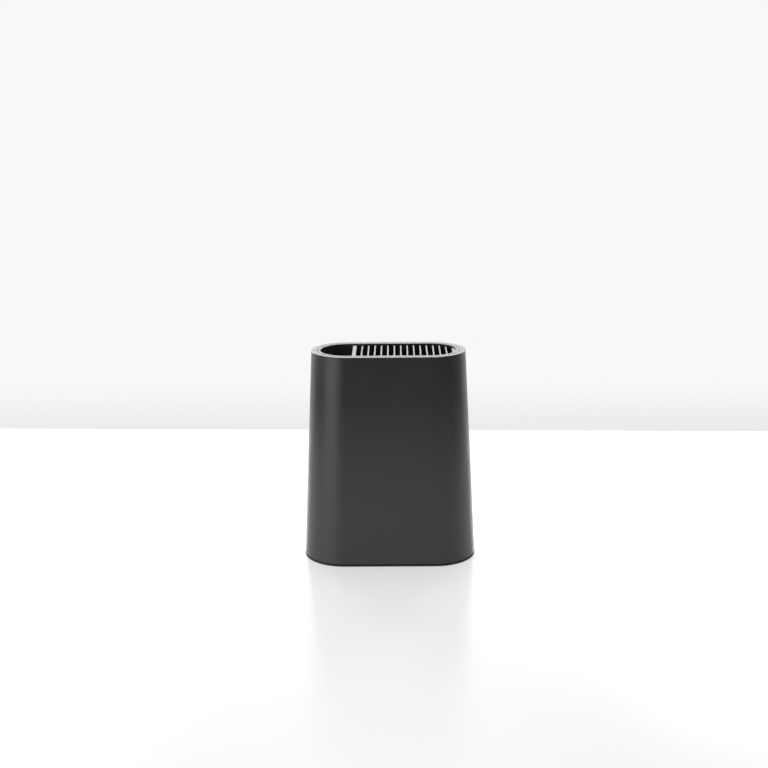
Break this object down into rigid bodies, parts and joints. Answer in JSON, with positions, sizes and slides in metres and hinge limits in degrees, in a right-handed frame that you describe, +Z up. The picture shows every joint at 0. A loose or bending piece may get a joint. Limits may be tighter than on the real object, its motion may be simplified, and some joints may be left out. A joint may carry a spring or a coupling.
{
  "type": "knife block",
  "caption": "Freestanding tapered oval knife holder with a lift-out insert that has parallel blade slots and an open utensil bay.",
  "frame": {"origin": "on the worktop under the middle of the base", "axes": "+X along the block's length, away from the utensil bay; +Y towards the back; +Z up, the way knives and the insert leave"},
  "size_m": [0.18, 0.086, 0.221],
  "materials": {
    "housing_abs": "moulded satin, fine grain",
    "insert_abs": "moulded satin, fine grain",
    "foot_rubber": "matte",
    "screw_steel": "zinc plated"
  },
  "bodies": {
    "housing": {"outer_shell": "housing_abs", "base_plate": "housing_abs", "base_screws": "screw_steel", "foot_front_left": "foot_rubber", "foot_front_right": "foot_rubber", "foot_back_left": "foot_rubber", "foot_back_right": "foot_rubber"},
    "insert": {"insert_collar": "insert_abs", "insert_sleeve": "insert_abs", "insert_floor": "insert_abs", "bay_partition": "insert_abs", "divider_01": "insert_abs", "divider_02": "insert_abs", "divider_03": "insert_abs", "divider_04": "insert_abs", "divider_05": "insert_abs", "divider_06": "insert_abs", "divider_07": "insert_abs", "divider_08": "insert_abs", "divider_09": "insert_abs", "divider_10": "insert_abs", "divider_11": "insert_abs", "divider_12": "insert_abs", "divider_13": "insert_abs", "divider_14": "insert_abs"}
  },
  "joints": [
    {"name": "insert_lift", "type": "slide", "parent": "housing", "child": "insert", "axis": [0, 0, 1], "range_m": [0, 0.225]}
  ]
}
